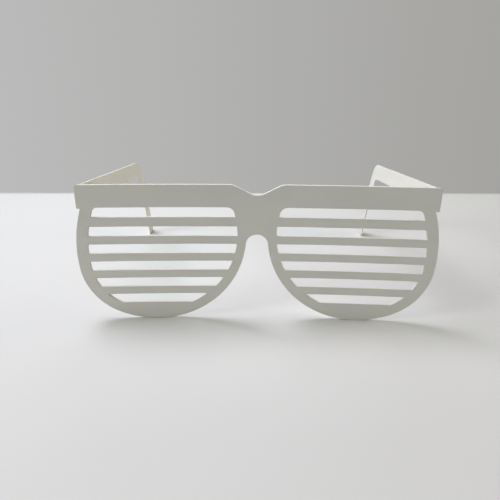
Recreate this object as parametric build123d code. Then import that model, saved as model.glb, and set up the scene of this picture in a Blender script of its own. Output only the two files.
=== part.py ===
from build123d import *
import os
from math import asin, cos, degrees, radians, sin, sqrt, tan

# Slatted novelty glasses, standing on both rims and on the feet of both ear hooks.
# Lengths are in millimetres and angles in degrees. +X runs across the front,
# +Y from the front towards the hooks, and +Z up from the surface they stand on.
# The front, the arms and the hinges are drawn with Y zero on the bridge's front face,
# and are moved at the end so that the origin lies under the middle of the whole.

# Sheet that the front is cut from
sheet_thickness = 1.2
front_bow = 3.05

# Brow bar, from the ends to the dip over the bridge
overall_height = 61.2
brow_height = 9.48
brow_end_height = 9.8
brow_overhang = 1.4
brow_corner_radius = 1.6
dip_depth = 4.45
dip_slope = 27.3
dip_radius = 6.5

# Rims: each is a nose side arc, a lower corner arc and an outer flank arc
nose_gap = 9.0
nose_arch_height = 35.2
nose_side_radius = 39.4
lower_corner_radius = 26.3
flank_radius = 60.9
corner_starts_at = -6.0
corner_ends_at = -66.0
rim_width = 4.6
nose_rim_width = 4.0

# Slots and slats in each lens opening
slots_per_lens = 6
slot_height = 4.25
top_slat_height = 4.0
lowest_slot_height = 8.1
outer_slot_corner_radius = 2.6
nose_slot_corner_radius = 3.2

# Arms with their ear hooks, cut from a thinner sheet. A hook leans less below its end height.
arm_thickness = 0.6
arm_inset = 2.0
arm_drop = 0.1
arm_slope = 5.7
arm_height = 8.35
arm_reach = 93.8
arm_front_gap = 0.3
arm_front_corner_radius = 1.0
hook_lean = 30.4
hook_end_lean = 20.0
hook_end_height = 24.2
hook_width = 7.7
hook_outer_bend_radius = 14.0
hook_inner_bend_radius = 6.0
hook_middle_bend_radius = 40.0
foot_corner_radius = 1.0

# Hinges behind the brow's ends
hinge_drop = 0.6
leaf_thickness = 0.6
leaf_height = 5.8
leaf_length = 8.0
leaf_overlap = 0.7
leaf_corner_radius = 1.0
knuckle_radius = 1.3
knuckle_clearance = 0.3
knuckle_gap = 0.2
middle_knuckle_height = 2.0
screw_radius = 0.6
screw_clearance = 0.05
screw_head_radius = 1.1
screw_head_height = 0.6
screw_slot_width = 0.3
screw_slot_depth = 0.25
stub_radius = 0.6
stub_depth = 0.8
rivet_radius = 0.5
rivet_head_radius = 0.9
rivet_head_height = 0.3
rivet_edge_radius = 0.15
fastener_clearance = 0.03
fastener_place_shares = (0.4, 0.8)

# Extra length of every cutting shape past the surface that it cuts
overrun = 1.0


def step_along(angle, distance):
    """Offset across and up the front for a distance at an angle from +X."""
    return Vector(distance * cos(radians(angle)), distance * sin(radians(angle)))


def half_chord(distance, radius):
    """Half the width of a circle at a distance from its centre."""
    return sqrt(radius**2 - distance**2)


# Places that follow from the sizes above
slot_top = overall_height - brow_height
slats_height = slot_top - lowest_slot_height - slots_per_lens * slot_height - top_slat_height
slat_height = slats_height / (slots_per_lens - 2)
brow_underside = overall_height - brow_end_height
lens_center_x = nose_gap / 2 + nose_side_radius
corner_center = Vector(lens_center_x, nose_side_radius) + step_along(
    corner_ends_at, nose_side_radius - lower_corner_radius
)
flank_center = corner_center - step_along(corner_starts_at, flank_radius - lower_corner_radius)
rim_top_x = flank_center.X + half_chord(brow_underside - flank_center.Y, flank_radius)
brow_half_width = rim_top_x + brow_overhang
bow_radius = (brow_half_width**2 + front_bow**2) / (2 * front_bow)


def back_face_y(x):
    """How far back the front's rear face lies at a place across its width."""
    return half_chord(x, bow_radius + sheet_thickness) - bow_radius


def arm_top_z(y):
    """Height of the arm's sloping top edge at a distance behind the front."""
    return overall_height - arm_drop - y * tan(radians(arm_slope))


arm_outer_x = brow_half_width - arm_inset
arm_inner_x = arm_outer_x - arm_thickness
arm_front_y = back_face_y(arm_inner_x) + arm_front_gap
arm_upright_height = arm_height / cos(radians(arm_slope))

# The pin lies the same distance from the arm's inner face and from the front's rear face
hinge_offset = leaf_thickness + knuckle_clearance + knuckle_radius
hinge_x = arm_inner_x - hinge_offset
hinge_y = back_face_y(hinge_x) + hinge_offset
hinge_z = arm_top_z(hinge_y) - arm_upright_height / 2 - hinge_drop
end_knuckle_height = (leaf_height - middle_knuckle_height) / 2 - knuckle_gap


def lens_outline(top, side_inset, nose_inset):
    """Right-hand lens shape below a height, drawn inside the rim's edge by the insets."""
    corner_radius = lower_corner_radius - side_inset
    outer_radius = flank_radius - side_inset
    nose_radius = nose_side_radius - nose_inset
    nose_center = corner_center - step_along(corner_ends_at, nose_radius - corner_radius)
    flank_start = degrees(asin((top - flank_center.Y) / outer_radius))
    nose_rise = degrees(asin((top - nose_center.Y) / nose_radius))
    flank = CenterArc(flank_center, outer_radius, flank_start, corner_starts_at - flank_start)
    corner = CenterArc(corner_center, corner_radius, corner_starts_at, corner_ends_at - corner_starts_at)
    nose_side = CenterArc(nose_center, nose_radius, corner_ends_at, -180 - corner_ends_at - nose_rise)
    return make_face(Curve() + [flank, corner, nose_side, Line(nose_side @ 1, flank @ 0)])


def lens_slots():
    """The slots of the right-hand lens opening, one above the other."""
    window = lens_outline(slot_top, rim_width, nose_rim_width)
    nose_corner = window.vertices().group_by(Axis.Y)[-1].sort_by(Axis.X)[0]
    window = fillet(nose_corner, nose_slot_corner_radius)
    outer_corner = window.vertices().group_by(Axis.Y)[-1].sort_by(Axis.X)[-1]
    window = fillet(outer_corner, outer_slot_corner_radius)
    slots = Sketch()
    upper_edge = slot_top
    for number in range(slots_per_lens):
        band = Rectangle(2 * flank_radius, slot_height, align=(Align.CENTER, Align.MAX))
        slots += window & (Pos(lens_center_x, upper_edge) * band)
        upper_edge -= slot_height + (top_slat_height if number == 0 else slat_height)
    return slots


def brow_outline():
    """Brow bar with rounded upper ends and the dip over the bridge."""
    dip_fall = dip_depth + dip_radius * (1 / cos(radians(dip_slope)) - 1)
    dip_half_width = dip_fall / tan(radians(dip_slope))
    corners = [
        (-brow_half_width, brow_underside),
        (brow_half_width, brow_underside),
        (brow_half_width, overall_height),
        (dip_half_width, overall_height),
        (0, overall_height - dip_fall),
        (-dip_half_width, overall_height),
        (-brow_half_width, overall_height),
    ]
    brow = make_face(Polyline(*corners, close=True))
    dip_corners = brow.vertices().filter_by_position(Axis.X, -dip_half_width, dip_half_width)
    brow = fillet(dip_corners, dip_radius)
    end_corners = brow.vertices().group_by(Axis.Y)[-1].sort_by(Axis.X)
    return fillet([end_corners[0], end_corners[-1]], brow_corner_radius)


def front_outline():
    """Flat outline of the whole front, with the nose arch and all slots cut out."""
    lens = lens_outline(brow_underside + brow_end_height / 2, 0, 0)
    slots = lens_slots()
    arch_radius = lens_center_x - half_chord(nose_side_radius - nose_arch_height, nose_side_radius)
    bridge_height = brow_underside - nose_arch_height
    bridge = Rectangle(2 * lens_center_x, bridge_height, align=(Align.CENTER, Align.MIN))
    outline = brow_outline() + lens + mirror(lens, about=Plane.YZ) + Pos(0, nose_arch_height) * bridge
    outline -= Pos(0, nose_arch_height) * Circle(arch_radius)
    return outline - slots - mirror(slots, about=Plane.YZ)


def bowed(outline, near, far):
    """The outline as a bowed plate, between two depths behind the front's face."""
    blank = extrude(Plane.XZ * outline, amount=front_bow + far + overrun, both=True)
    ring = Circle(bow_radius + far) - Circle(bow_radius + near)
    shell = extrude(Pos(0, -bow_radius, -overrun) * ring, amount=overall_height + 2 * overrun)
    return blank & shell


def stub_pins(radius, depth):
    """Two pins into the front's rear face, along the leaf behind the right-hand brow end."""
    pins = Part()
    for share in fastener_place_shares:
        pin_x = hinge_x - share * leaf_length
        pin = Cylinder(radius, depth + leaf_thickness / 2, align=(Align.CENTER, Align.CENTER, Align.MAX))
        pins += Pos(pin_x, back_face_y(pin_x) - depth, hinge_z) * Rot(90, 0, 0) * pin
    return pins


def make_front_frame():
    """The slatted front, with blind sockets behind it for the hinge leaves' stub pins."""
    sockets = stub_pins(stub_radius + fastener_clearance, stub_depth + fastener_clearance)
    plate = bowed(front_outline(), 0, sheet_thickness)
    return plate - sockets - mirror(sockets, about=Plane.YZ)


def round_corner(profile, corner, radius):
    """Round the profile's corner that lies at a given point."""
    nearest = profile.vertices().sort_by_distance(corner)[0]
    return fillet(nearest, radius)


def rivets(radius, extra):
    """Two rivet shanks through the right-hand arm and its leaf, longer by the extra at each end."""
    shanks = Part()
    length = arm_thickness + leaf_thickness + 2 * extra
    for share in fastener_place_shares:
        shank = Rot(0, 90, 0) * Cylinder(radius, length, align=(Align.CENTER, Align.CENTER, Align.MIN))
        start_x = arm_inner_x - leaf_thickness - extra
        shanks += Pos(start_x, hinge_y + share * leaf_length, hinge_z) * shank
    return shanks


def hook_corners():
    """Corners of the ear hook seen from the side, from the outer bend round to the inner one."""
    lean = tan(radians(hook_lean))
    outer_bend_z = arm_top_z(arm_reach)
    middle_back_y = arm_reach + (outer_bend_z - hook_end_height) * lean
    foot_back_y = middle_back_y + hook_end_height * tan(radians(hook_end_lean))
    foot_front_y = foot_back_y - hook_width / cos(radians(hook_end_lean))

    # The front edges meet on the line that halves the angle between the back edges
    middle_lean = radians((hook_lean + hook_end_lean) / 2)
    middle_width = hook_width / cos(radians((hook_lean - hook_end_lean) / 2))
    middle_front_y = middle_back_y - middle_width * cos(middle_lean)
    middle_front_z = hook_end_height - middle_width * sin(middle_lean)

    # The inner bend is where the hook's front edge meets the arm's underside
    slope = tan(radians(arm_slope))
    underside_at_front = arm_top_z(0) - arm_upright_height
    level_front_y = middle_front_y + middle_front_z * lean
    inner_bend_y = (level_front_y - underside_at_front * lean) / (1 - slope * lean)
    return [
        (arm_reach, outer_bend_z),
        (middle_back_y, hook_end_height),
        (foot_back_y, 0),
        (foot_front_y, 0),
        (middle_front_y, middle_front_z),
        (inner_bend_y, underside_at_front - inner_bend_y * slope),
    ]


def make_arm():
    """The right-hand arm with its ear hook, as one flat piece."""
    outer_bend, middle_back, foot_back, foot_front, middle_front, inner_bend = hook_corners()
    front_top = (arm_front_y, arm_top_z(arm_front_y))
    front_bottom = (arm_front_y, arm_top_z(arm_front_y) - arm_upright_height)
    rounded = [
        (front_top, arm_front_corner_radius),
        (outer_bend, hook_outer_bend_radius),
        (middle_back, hook_middle_bend_radius),
        (foot_back, foot_corner_radius),
        (foot_front, foot_corner_radius),
        (middle_front, hook_middle_bend_radius),
        (inner_bend, hook_inner_bend_radius),
        (front_bottom, arm_front_corner_radius),
    ]
    corners = [corner for corner, radius in rounded]
    profile = make_face(Polyline(*corners, close=True))
    for corner, radius in rounded:
        profile = round_corner(profile, corner, radius)
    arm = extrude(Plane.YZ.offset(arm_inner_x) * profile, amount=arm_thickness)
    return arm - rivets(rivet_radius + fastener_clearance, overrun)


def knuckle(height, web_across, web_along):
    """A knuckle about the pin, with a web from the pin line to the leaf."""
    web = Rectangle(
        abs(web_across),
        abs(web_along),
        align=(
            Align.MIN if web_across > 0 else Align.MAX,
            Align.MIN if web_along > 0 else Align.MAX,
        ),
    )
    return extrude(Circle(knuckle_radius) + web, amount=height)


def screw_bore():
    """Bore for the screw, through all three knuckles."""
    bore = Cylinder(screw_radius + screw_clearance, leaf_height + 2 * overrun)
    return Pos(hinge_x, hinge_y, hinge_z) * bore


def leaf_outline():
    """Hinge leaf with the pin line at X zero and its rounded end towards +X."""
    plate = Pos(-leaf_overlap, 0) * Rectangle(
        leaf_overlap + leaf_length, leaf_height, align=(Align.MIN, Align.CENTER)
    )
    return fillet(plate.vertices().group_by(Axis.X)[-1], leaf_corner_radius)


def make_front_hinge():
    """Right-hand leaf on the front's rear face, with the upper and lower knuckles."""
    outline = Pos(hinge_x, hinge_z) * mirror(leaf_outline(), about=Plane.YZ)
    hinge = bowed(outline, sheet_thickness, sheet_thickness + leaf_thickness)
    web_reach = hinge_offset - leaf_thickness / 2
    lower = hinge_z - leaf_height / 2
    upper = hinge_z + leaf_height / 2 - end_knuckle_height
    for base in (lower, upper):
        hinge += Pos(hinge_x, hinge_y, base) * knuckle(end_knuckle_height, -knuckle_radius, -web_reach)
    return hinge + stub_pins(stub_radius, stub_depth) - screw_bore()


def make_arm_hinge():
    """Right-hand leaf on the arm's inner face, with the middle knuckle."""
    plate = extrude(Plane.YZ * leaf_outline(), amount=leaf_thickness)
    hinge = Pos(arm_inner_x - leaf_thickness, hinge_y, hinge_z) * plate
    base = hinge_z - middle_knuckle_height / 2
    web_reach = hinge_offset - leaf_thickness / 2
    hinge += Pos(hinge_x, hinge_y, base) * knuckle(middle_knuckle_height, web_reach, knuckle_radius)
    return hinge - screw_bore() - rivets(rivet_radius + fastener_clearance, overrun)


def make_screw():
    """Slotted screw that is the right-hand hinge's pin, with its head on the upper knuckle."""
    upright = (Align.CENTER, Align.CENTER, Align.MIN)
    top = leaf_height + screw_head_height
    screw = Cylinder(screw_radius, leaf_height, align=upright)
    screw += Pos(0, 0, leaf_height) * Cylinder(screw_head_radius, screw_head_height, align=upright)
    slot = Box(2 * screw_head_radius + overrun, screw_slot_width, screw_slot_depth + overrun, align=upright)
    screw -= Pos(0, 0, top - screw_slot_depth) * slot
    return Pos(hinge_x, hinge_y, hinge_z - leaf_height / 2) * screw


def make_rivets():
    """Two rivets through the right-hand arm and its leaf, with a low head at each end."""
    pair = rivets(rivet_radius, 0)
    head = Cylinder(rivet_head_radius, rivet_head_height, align=(Align.CENTER, Align.CENTER, Align.MIN))
    head = fillet(head.edges().group_by(Axis.Z)[-1], rivet_edge_radius)
    for share in fastener_place_shares:
        rivet_y = hinge_y + share * leaf_length
        pair += Pos(arm_outer_x, rivet_y, hinge_z) * Rot(0, 90, 0) * head
        pair += Pos(arm_inner_x - leaf_thickness, rivet_y, hinge_z) * Rot(0, -90, 0) * head
    return pair


def make_nodes():
    """Every piece by name, still with Y zero on the bridge's front face."""
    right_side = {
        "temple": make_arm(),
        "front_hinge": make_front_hinge(),
        "temple_hinge": make_arm_hinge(),
        "hinge_screw": make_screw(),
        "temple_rivets": make_rivets(),
    }
    nodes = {"front_frame": make_front_frame()}
    for name, piece in right_side.items():
        nodes[name + "_right"] = piece
        nodes[name + "_left"] = mirror(piece, about=Plane.YZ)
    return nodes


os.makedirs("parts", exist_ok=True)
nodes = make_nodes()
middle_y = Compound(list(nodes.values())).bounding_box().center().Y
for name, piece in nodes.items():
    export_step(Pos(0, -middle_y, 0) * piece, f"parts/{name}.step")
print(f"middle_y {middle_y:.4f}, hinge {hinge_x:.4f} {hinge_y - middle_y:.4f} {hinge_z:.4f}")
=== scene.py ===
"""Slatted novelty glasses on a pale table: the finishes, the table top, the light and the camera.

Sizes and places are in metres, and angles in degrees.
"""

import logging
import math
from abc import ABC, abstractmethod
from dataclasses import dataclass, field
from enum import Enum

import bpy
from mathutils import Matrix, Vector


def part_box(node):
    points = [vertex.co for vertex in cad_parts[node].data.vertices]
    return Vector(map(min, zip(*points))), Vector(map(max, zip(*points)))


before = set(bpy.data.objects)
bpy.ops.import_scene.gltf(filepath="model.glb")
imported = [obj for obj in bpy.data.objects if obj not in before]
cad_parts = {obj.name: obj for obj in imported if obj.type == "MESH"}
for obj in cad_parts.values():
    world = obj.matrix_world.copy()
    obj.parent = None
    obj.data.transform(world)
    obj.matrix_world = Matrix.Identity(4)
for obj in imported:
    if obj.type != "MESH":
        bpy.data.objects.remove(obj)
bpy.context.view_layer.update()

MM = 0.001
BEVEL_SAMPLES = 6
# A wave texture of scale one repeats at about this distance
WAVE_PERIOD = 0.314
log = logging.getLogger("glasses")

Colour = tuple[float, float, float, float]
Socket = bpy.types.NodeSocket


def linear(colour: str) -> Colour:
    """Turn an sRGB hex colour into linear light.

    Args:
        colour: Six hex digits, with or without a leading hash.

    Returns:
        Linear red, green and blue, and an alpha of one.
    """
    digits = colour.lstrip("#")
    values = [int(digits[place : place + 2], 16) / 255 for place in (0, 2, 4)]
    light = [v / 12.92 if v <= 0.04045 else ((v + 0.055) / 1.055) ** 2.4 for v in values]
    return (light[0], light[1], light[2], 1.0)


def add_node(
    tree: bpy.types.NodeTree,
    kind: str,
    settings: dict[str, object] | None = None,
    inputs: dict[str | int, object] | None = None,
) -> bpy.types.Node:
    """Add one shader node.

    Args:
        tree: The material's or world's node tree.
        kind: The node's type name, without its ShaderNode prefix.
        settings: Properties of the node itself.
        inputs: Values for its input sockets, or output sockets to link to them.

    Returns:
        The new node.
    """
    node = tree.nodes.new("ShaderNode" + kind)
    for name, value in (settings or {}).items():
        setattr(node, name, value)
    for name, value in (inputs or {}).items():
        if isinstance(value, Socket):
            tree.links.new(value, node.inputs[name])
        else:
            node.inputs[name].default_value = value
    return node


class Side(Enum):
    """A side of the glasses as they are seen from in front, where left is towards -X."""

    LEFT = "left"
    RIGHT = "right"


@dataclass(frozen=True)
class Finish(ABC):
    """A surface of the real object, as a node material on object coordinates."""

    name: str
    colour: str
    roughness: float

    @abstractmethod
    def build(self) -> bpy.types.Material:
        """Make the material.

        Returns:
            The new material.
        """

    def start(self) -> tuple[bpy.types.Material, bpy.types.NodeTree, Socket]:
        """Begin an empty material.

        Returns:
            The material, its node tree and its object coordinates.
        """
        material = bpy.data.materials.new(self.name)
        material.use_nodes = True
        material.diffuse_color = linear(self.colour)
        tree = material.node_tree
        tree.nodes.clear()
        return material, tree, add_node(tree, "TexCoord").outputs["Object"]

    def close(self, tree: bpy.types.NodeTree, inputs: dict[str | int, object]) -> None:
        """End the material with its surface shader.

        Args:
            tree: The material's node tree.
            inputs: The surface shader's sockets.
        """
        surface = add_node(tree, "BsdfPrincipled", inputs=inputs)
        add_node(tree, "OutputMaterial", inputs={"Surface": surface.outputs["BSDF"]})


@dataclass(frozen=True)
class EdgedFinish(Finish):
    """A finish whose cut edges are soft, and rubbed in places by handling."""

    edge: float = 0.2 * MM
    patch: float = 5.0 * MM
    edge_starts: float = 0.99
    edge_is_full: float = 0.85
    rubbed_from: float = 0.42
    rubbed_to: float = 0.62

    def soft_edges(self, tree: bpy.types.NodeTree, place: Socket) -> tuple[Socket, Socket]:
        """Round the edges in the light, and find where they are rubbed.

        Args:
            tree: The material's node tree.
            place: The object coordinates.

        Returns:
            The normal as if the edges were rounded, and a share that is one on a rubbed stretch
            of an edge and zero on the flats.
        """
        bevel = add_node(
            tree, "Bevel", settings={"samples": BEVEL_SAMPLES}, inputs={"Radius": self.edge}
        )
        rounded = bevel.outputs["Normal"]
        flat = add_node(tree, "NewGeometry").outputs["Normal"]
        alike = add_node(
            tree, "VectorMath", settings={"operation": "DOT_PRODUCT"}, inputs={0: flat, 1: rounded}
        )
        near_edge = add_node(
            tree,
            "MapRange",
            inputs={
                "Value": alike.outputs["Value"],
                "From Min": self.edge_starts,
                "From Max": self.edge_is_full,
            },
        )
        patches = add_node(
            tree, "TexNoise", inputs={"Vector": place, "Scale": 1 / self.patch, "Detail": 2.0}
        )
        handled = add_node(
            tree,
            "MapRange",
            inputs={
                "Value": patches.outputs["Fac"],
                "From Min": self.rubbed_from,
                "From Max": self.rubbed_to,
            },
        )
        wear = add_node(
            tree,
            "Math",
            settings={"operation": "MULTIPLY"},
            inputs={0: near_edge.outputs["Result"], 1: handled.outputs["Result"]},
        )
        return rounded, wear.outputs["Value"]


@dataclass(frozen=True)
class MouldedPolystyrene(EdgedFinish):
    """High-impact polystyrene, moulded against a spark-eroded tool.

    The tool leaves a fine matt grain, so the sheet looks chalky, with no sharp highlight.
    The white pigment streaks a little along the way the melt ran, from end to end. The thin
    edges are rubbed smooth in places by handling, which makes them shinier there, and they are
    painted paler there too: partly rubbed wear, partly a painted highlight along the edges.
    """

    edge: float = 0.22 * MM
    shade: str = "#CBC9C4"
    rubbed_edge_and_highlight: str = "#E0DFDB"
    ior: float = 1.57
    gloss_spread: float = 0.06
    rubbed_gloss: float = 0.16
    grain: float = 0.4 * MM
    grain_depth: float = 0.07 * MM
    streak_length: float = 30.0 * MM
    streak_width: float = 7.0 * MM

    def build(self) -> bpy.types.Material:
        """Make the matt off-white plastic.

        Returns:
            The new material.
        """
        material, tree, place = self.start()
        run = add_node(
            tree,
            "Mapping",
            inputs={
                "Vector": place,
                "Scale": (1 / self.streak_length, 1 / self.streak_length, 1 / self.streak_width),
            },
        )
        streaks = add_node(
            tree, "TexNoise", inputs={"Vector": run.outputs["Vector"], "Scale": 1.0, "Detail": 3.0}
        )
        pigment = add_node(
            tree,
            "Mix",
            settings={"data_type": "RGBA"},
            inputs={
                "Factor": streaks.outputs["Fac"],
                "A": linear(self.shade),
                "B": linear(self.colour),
            },
        )
        # The real grain is 0.1 mm across and 0.02 mm deep, which is too fine to show, so it is
        # drawn coarser, and deeper in proportion
        grain = add_node(
            tree, "TexNoise", inputs={"Vector": place, "Scale": 1 / self.grain, "Detail": 4.0}
        )
        rounded, wear = self.soft_edges(tree, place)
        # Paler along the edges in patches: rubbed wear, and a painted highlight on the thin edges
        tint = add_node(
            tree,
            "Mix",
            settings={"data_type": "RGBA"},
            inputs={"Factor": wear, "A": pigment.outputs["Result"], "B": linear(self.rubbed_edge_and_highlight)},
        )
        matt = add_node(
            tree,
            "MapRange",
            inputs={
                "Value": grain.outputs["Fac"],
                "To Min": self.roughness - self.gloss_spread,
                "To Max": self.roughness + self.gloss_spread,
            },
        )
        gloss = add_node(
            tree,
            "Mix",
            inputs={
                "Factor": wear,
                "A": matt.outputs["Result"],
                "B": self.roughness - self.rubbed_gloss,
            },
        )
        bump = add_node(
            tree,
            "Bump",
            inputs={
                "Strength": 1.0,
                "Distance": self.grain_depth,
                "Height": grain.outputs["Fac"],
                "Normal": rounded,
            },
        )
        self.close(
            tree,
            {
                "Base Color": tint.outputs["Result"],
                "Roughness": gloss.outputs["Result"],
                "IOR": self.ior,
                "Normal": bump.outputs["Normal"],
            },
        )
        return material


@dataclass(frozen=True)
class BrushedNickelSilver(EdgedFinish):
    """Nickel-silver strip, stamped and brushed along its length, as on spectacle hinges.

    The brushing smears each highlight across its lines, and the zinc makes the grey warmer
    than steel's. The stamped edges are worn bright where the leaves are handled.
    """

    edge: float = 0.09 * MM
    patch: float = 1.5 * MM
    dulled: str = "#A8A290"
    bright: str = "#DAD6CB"
    gloss_gain: float = 0.08
    gloss_loss: float = 0.12
    line: float = 0.25 * MM
    line_length: float = 6.0 * MM
    line_depth: float = 0.015 * MM
    tarnish: float = 2.5 * MM

    def build(self) -> bpy.types.Material:
        """Make the brushed yellowish-grey metal.

        Returns:
            The new material.
        """
        material, tree, place = self.start()
        stretch = add_node(
            tree,
            "Mapping",
            inputs={
                "Vector": place,
                "Scale": (1 / self.line_length, 1 / self.line_length, 1 / self.line),
            },
        )
        # The real lines are 0.05 mm apart and 0.003 mm deep, which is too fine to show, so they
        # are drawn coarser, and deeper in proportion
        lines = add_node(
            tree,
            "TexNoise",
            inputs={"Vector": stretch.outputs["Vector"], "Scale": 1.0, "Detail": 3.0},
        )
        dull = add_node(
            tree, "TexNoise", inputs={"Vector": place, "Scale": 1 / self.tarnish, "Detail": 2.0}
        )
        aged = add_node(
            tree,
            "Mix",
            settings={"data_type": "RGBA"},
            inputs={
                "Factor": dull.outputs["Fac"],
                "A": linear(self.dulled),
                "B": linear(self.colour),
            },
        )
        rounded, wear = self.soft_edges(tree, place)
        tint = add_node(
            tree,
            "Mix",
            settings={"data_type": "RGBA"},
            inputs={"Factor": wear, "A": aged.outputs["Result"], "B": linear(self.bright)},
        )
        gloss = add_node(
            tree,
            "MapRange",
            inputs={
                "Value": lines.outputs["Fac"],
                "To Min": self.roughness - self.gloss_gain,
                "To Max": self.roughness + self.gloss_loss,
            },
        )
        bump = add_node(
            tree,
            "Bump",
            inputs={
                "Strength": 1.0,
                "Distance": self.line_depth,
                "Height": lines.outputs["Fac"],
                "Normal": rounded,
            },
        )
        self.close(
            tree,
            {
                "Base Color": tint.outputs["Result"],
                "Metallic": 1.0,
                "Roughness": gloss.outputs["Result"],
                "Normal": bump.outputs["Normal"],
            },
        )
        return material


@dataclass(frozen=True)
class TurnedSteel(Finish):
    """Stainless steel, turned on a lathe.

    The tool leaves fine rings about the screw, which draw its shine out into a narrow glint.
    """

    axis_x: float = 0.0
    axis_y: float = 0.0
    gloss_gain: float = 0.06
    gloss_loss: float = 0.08
    ring: float = 0.2 * MM
    ring_depth: float = 0.01 * MM
    unevenness: float = 1.0

    def build(self) -> bpy.types.Material:
        """Make the turned metal with rings about its own axis.

        Returns:
            The new material.
        """
        material, tree, place = self.start()
        centred = add_node(
            tree,
            "Mapping",
            inputs={"Vector": place, "Location": (-self.axis_x, -self.axis_y, 0.0)},
        )
        # The real rings are 0.08 mm apart and 0.004 mm deep, which is too fine to show, so they
        # are drawn coarser, and deeper in proportion
        rings = add_node(
            tree,
            "TexWave",
            settings={"wave_type": "RINGS", "rings_direction": "Z"},
            inputs={
                "Vector": centred.outputs["Vector"],
                "Scale": WAVE_PERIOD / self.ring,
                "Distortion": self.unevenness,
            },
        )
        gloss = add_node(
            tree,
            "MapRange",
            inputs={
                "Value": rings.outputs["Fac"],
                "To Min": self.roughness + self.gloss_loss,
                "To Max": self.roughness - self.gloss_gain,
            },
        )
        bump = add_node(
            tree,
            "Bump",
            inputs={"Strength": 0.6, "Distance": self.ring_depth, "Height": rings.outputs["Fac"]},
        )
        self.close(
            tree,
            {
                "Base Color": linear(self.colour),
                "Metallic": 1.0,
                "Roughness": gloss.outputs["Result"],
                "Normal": bump.outputs["Normal"],
            },
        )
        return material


@dataclass(frozen=True)
class TumbledAluminium(Finish):
    """Aluminium rivets, tumbled in a barrel.

    The small dents scatter the light, so the heads have a soft whitish shine, not a mirror's.
    """

    dulled: str = "#B9B9B6"
    gloss_spread: float = 0.1
    dent: float = 0.3 * MM
    dent_depth: float = 0.012 * MM

    def build(self) -> bpy.types.Material:
        """Make the satin metal with small tumbling marks.

        Returns:
            The new material.
        """
        material, tree, place = self.start()
        # The real dents are 0.1 mm across and 0.004 mm deep, which is too fine to show, so they
        # are drawn coarser, and deeper in proportion
        dents = add_node(
            tree, "TexNoise", inputs={"Vector": place, "Scale": 1 / self.dent, "Detail": 2.0}
        )
        tint = add_node(
            tree,
            "Mix",
            settings={"data_type": "RGBA"},
            inputs={
                "Factor": dents.outputs["Fac"],
                "A": linear(self.dulled),
                "B": linear(self.colour),
            },
        )
        gloss = add_node(
            tree,
            "MapRange",
            inputs={
                "Value": dents.outputs["Fac"],
                "To Min": self.roughness + self.gloss_spread,
                "To Max": self.roughness - self.gloss_spread,
            },
        )
        bump = add_node(
            tree,
            "Bump",
            inputs={"Strength": 1.0, "Distance": self.dent_depth, "Height": dents.outputs["Fac"]},
        )
        self.close(
            tree,
            {
                "Base Color": tint.outputs["Result"],
                "Metallic": 1.0,
                "Roughness": gloss.outputs["Result"],
                "Normal": bump.outputs["Normal"],
            },
        )
        return material


@dataclass(frozen=True)
class MattCard(Finish):
    """White card laid on the table, uncoated and rolled smooth.

    Its faint tooth takes away all gloss, so that only light and shadow show on it. Its cut
    far edge fades a little grey: painted shade where the edge falls away.
    """

    painted_edge_shade: str = "#A8A8A6"
    sheen: float = 0.2
    back_edge: float = 0.1645
    turn: float = 1.85
    painted_shade_width: float = 7.0 * MM
    tooth: float = 0.6 * MM
    tooth_depth: float = 0.01 * MM

    def build(self) -> bpy.types.Material:
        """Make the plain pale table surface.

        Returns:
            The new material.
        """
        material, tree, place = self.start()
        squared = add_node(
            tree,
            "Mapping",
            settings={"vector_type": "TEXTURE"},
            inputs={
                "Vector": place,
                "Location": (0.0, self.back_edge, 0.0),
                "Rotation": (0.0, 0.0, math.radians(self.turn)),
            },
        )
        across = add_node(tree, "SeparateXYZ", inputs={"Vector": squared.outputs["Vector"]})
        # Painted shade: the card darkens towards grey over its last few millimetres before the far
        # edge
        painted_shade_share = add_node(
            tree,
            "MapRange",
            inputs={"Value": across.outputs["Y"], "From Min": -self.painted_shade_width, "From Max": 0.0},
        )
        tint = add_node(
            tree,
            "Mix",
            settings={"data_type": "RGBA"},
            inputs={
                "Factor": painted_shade_share.outputs["Result"],
                "A": linear(self.colour),
                "B": linear(self.painted_edge_shade),
            },
        )
        tooth = add_node(
            tree, "TexNoise", inputs={"Vector": place, "Scale": 1 / self.tooth, "Detail": 3.0}
        )
        bump = add_node(
            tree,
            "Bump",
            inputs={"Strength": 0.2, "Distance": self.tooth_depth, "Height": tooth.outputs["Fac"]},
        )
        self.close(
            tree,
            {
                "Base Color": tint.outputs["Result"],
                "Roughness": self.roughness,
                "Specular IOR Level": self.sheen,
                "Normal": bump.outputs["Normal"],
            },
        )
        return material


def dress(node: str, material: bpy.types.Material) -> None:
    """Give a CAD node one material all over.

    Args:
        node: The node's name.
        material: The finish it gets.
    """
    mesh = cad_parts[node].data
    mesh.materials.clear()
    mesh.materials.append(material)


def report(node: str) -> None:
    """Log a CAD node's finish and size.

    Args:
        node: The node's name.
    """
    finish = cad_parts[node].data.materials[0].name
    low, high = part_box(node)
    size = (high - low) / MM
    log.info("%s: %s, %.1f x %.1f x %.1f mm", node, finish, size.x, size.y, size.z)


class SubAssembly(ABC):
    """Pieces of the glasses that belong together."""

    @abstractmethod
    def build(self) -> list[str]:
        """Dress the pieces.

        Returns:
            Their nodes' names.
        """


@dataclass
class SlattedFront(SubAssembly):
    """The one-piece front: brow bar, bridge, rims and slats."""

    finish: Finish
    node: str = "front_frame"

    def build(self) -> list[str]:
        """Dress the front.

        Returns:
            Its node's name.
        """
        dress(self.node, self.finish.build())
        return [self.node]


@dataclass
class Arm(SubAssembly):
    """One flat arm with its ear hook."""

    side: Side
    finish: Finish

    def build(self) -> list[str]:
        """Dress the arm.

        Returns:
            Its node's name.
        """
        node = f"temple_{self.side.value}"
        dress(node, self.finish.build())
        return [node]


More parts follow.
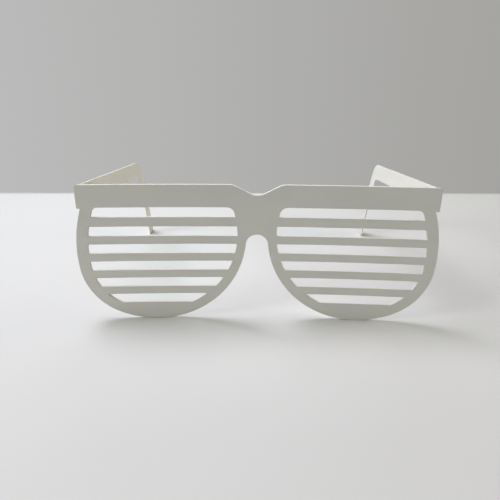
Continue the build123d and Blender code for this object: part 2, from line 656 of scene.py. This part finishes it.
@dataclass
class Hinge(SubAssembly):
    """One small spectacle hinge with its screw and its two rivets."""

    side: Side
    leaf_finish: Finish
    rivet_finish: Finish
    screw_colour: str = "#C9C9C6"
    screw_roughness: float = 0.28

    def build(self) -> list[str]:
        """Dress both leaves, the rivets and the screw.

        Returns:
            Their nodes' names.
        """
        side = self.side.value
        screw = f"hinge_screw_{side}"
        low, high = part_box(screw)
        middle = (low + high) / 2
        steel = TurnedSteel(
            f"turned_stainless_steel_{side}",
            self.screw_colour,
            self.screw_roughness,
            axis_x=middle.x,
            axis_y=middle.y,
        )
        leaf = self.leaf_finish.build()
        materials = {
            f"front_hinge_{side}": leaf,
            f"temple_hinge_{side}": leaf,
            f"temple_rivets_{side}": self.rivet_finish.build(),
            screw: steel.build(),
        }
        for node, material in materials.items():
            dress(node, material)
        return list(materials)


@dataclass
class TableTop:
    """The pale surface that the glasses stand on, which ends behind them."""

    finish: MattCard
    width: float = 1.3
    depth: float = 0.78
    gap: float = 0.05 * MM

    def build(self) -> bpy.types.Object:
        """Make the flat top.

        Returns:
            The table top.
        """
        bpy.ops.object.select_all(action="DESELECT")
        turn = Matrix.Rotation(math.radians(self.finish.turn), 3, "Z")
        back = Vector((0, self.finish.back_edge, -self.gap))
        middle = back - turn @ Vector((0, self.depth / 2, 0))
        bpy.ops.mesh.primitive_plane_add(size=1.0, location=middle, rotation=turn.to_euler())
        top = bpy.context.active_object
        top.name = "table_top"
        top.scale = (self.width, self.depth, 1.0)
        bpy.ops.object.transform_apply(location=True, rotation=True, scale=True)
        top.data.materials.append(self.finish.build())
        return top


@dataclass
class SoftLamp:
    """A square soft lamp that faces the glasses."""

    name: str
    place: tuple[float, float, float]
    size: float
    power: float
    colour: str
    aim: tuple[float, float, float] = (0.0, 0.0, 0.02)

    def build(self) -> bpy.types.Object:
        """Make the lamp.

        Returns:
            The lamp's object.
        """
        data = bpy.data.lights.new(self.name, "AREA")
        data.shape = "SQUARE"
        data.size = self.size
        data.energy = self.power
        data.color = linear(self.colour)[:3]
        lamp = bpy.data.objects.new(self.name, data)
        lamp.location = self.place
        facing = Vector(self.aim) - Vector(self.place)
        lamp.rotation_euler = facing.to_track_quat("-Z", "Y").to_euler()
        lamp.visible_camera = False
        bpy.context.scene.collection.objects.link(lamp)
        return lamp


def studio_lamps() -> list[SoftLamp]:
    """List the lamps of the photograph's plain soft light.

    Returns:
        Two above, a window low on the left, the lit wall behind and a card on the right.
    """
    return [
        SoftLamp("overhead_softbox", (-0.299, 0.075, 0.846), 0.45, 3.5, "#F6F5FF"),
        SoftLamp("overhead_lamp", (-0.232, 0.075, 0.548), 0.3, 1.84, "#F6F5FF"),
        SoftLamp("low_window", (-1.146, -0.609, 0.544), 0.47, 11.7, "#FAFFF6"),
        SoftLamp("wall_bounce", (0.0, 0.846, 0.308), 0.8, 3.35, "#F2FCF8"),
        SoftLamp("right_card", (0.869, 0.0, 0.233), 0.4, 3.4, "#FFF4D8"),
    ]


@dataclass
class Room:
    """The even light from all round, and the wall that shows behind the table, painted grey and
    darker towards the right: painted shade on a pale wall.
    """

    fill: float = 0.05
    fill_colour: str = "#FFF1B3"
    wall_left: str = "#BBBBBB"
    wall_right: str = "#A4A3A0"
    spread: float = 0.5

    def build(self) -> bpy.types.World:
        """Make the world.

        Returns:
            The scene's world.
        """
        world = bpy.data.worlds.new("room")
        world.use_nodes = True
        tree = world.node_tree
        tree.nodes.clear()
        bpy.context.scene.world = world
        sight = add_node(tree, "LightPath").outputs
        shown = sight["Is Camera Ray"]
        for ray in ("Is Glossy Ray", "Is Transmission Ray"):
            either = add_node(
                tree, "Math", settings={"operation": "MAXIMUM"}, inputs={0: shown, 1: sight[ray]}
            )
            shown = either.outputs["Value"]
        direction = add_node(tree, "TexCoord").outputs["Generated"]
        across = add_node(tree, "SeparateXYZ", inputs={"Vector": direction})
        share = add_node(
            tree,
            "MapRange",
            inputs={
                "Value": across.outputs["X"],
                "From Min": -self.spread,
                "From Max": self.spread,
            },
        )
        # Painted shade: the pale wall behind is drawn grey, darker towards the right, away from
        # the lamps on the left
        wall = add_node(
            tree,
            "Mix",
            settings={"data_type": "RGBA"},
            inputs={
                "Factor": share.outputs["Result"],
                "A": linear(self.wall_left),
                "B": linear(self.wall_right),
            },
        )
        seen = add_node(tree, "Background", inputs={"Color": wall.outputs["Result"]})
        light = add_node(
            tree,
            "Background",
            inputs={"Color": linear(self.fill_colour), "Strength": self.fill},
        )
        both = add_node(
            tree, "MixShader", inputs={0: shown, 1: light.outputs[0], 2: seen.outputs[0]}
        )
        add_node(tree, "OutputWorld", inputs={"Surface": both.outputs["Shader"]})
        return world


@dataclass
class PhotoCamera:
    """The camera where the photograph was taken from, a little above the brow."""

    place: Vector = field(default_factory=lambda: Vector((-1.4, -239.63, 105.54)) * MM)
    down: float = 21.741
    left: float = 0.47
    roll: float = 0.424
    lens: float = 33.12
    sensor: float = 36.0
    nearest: float = 10 * MM
    farthest: float = 20.0

    def build(self) -> bpy.types.Object:
        """Make the camera and use it for the scene.

        Returns:
            The camera's object.
        """
        data = bpy.data.cameras.new("photo_camera")
        data.lens = self.lens
        data.sensor_width = self.sensor
        data.clip_start = self.nearest
        data.clip_end = self.farthest
        camera = bpy.data.objects.new("photo_camera", data)
        turn = (
            Matrix.Rotation(math.radians(self.left), 4, "Z")
            @ Matrix.Rotation(math.radians(90 - self.down), 4, "X")
            @ Matrix.Rotation(math.radians(self.roll), 4, "Z")
        )
        camera.matrix_world = Matrix.Translation(self.place) @ turn
        bpy.context.scene.collection.objects.link(camera)
        bpy.context.scene.camera = camera
        return camera


def main() -> None:
    """Dress the glasses and set up the table, the light and the camera."""
    logging.basicConfig(level=logging.INFO, format="%(message)s")
    bpy.context.scene.view_settings.view_transform = "Standard"
    plastic = MouldedPolystyrene("matt_off_white_polystyrene", "#D4D2CE", 0.5)
    strip = BrushedNickelSilver("brushed_nickel_silver", "#B9B4A8", 0.34)
    rivet = TumbledAluminium("tumbled_aluminium", "#D0D0CE", 0.38)
    card = MattCard("matt_white_card", "#CCCCCC", 0.7)
    glasses: list[SubAssembly] = [SlattedFront(plastic)]
    for side in Side:
        glasses += [Arm(side, plastic), Hinge(side, strip, rivet)]
    for sub_assembly in glasses:
        for node in sub_assembly.build():
            report(node)
    TableTop(card).build()
    PhotoCamera().build()
    for lamp in studio_lamps():
        lamp.build()
    Room().build()


if __name__ == "__main__":
    main()
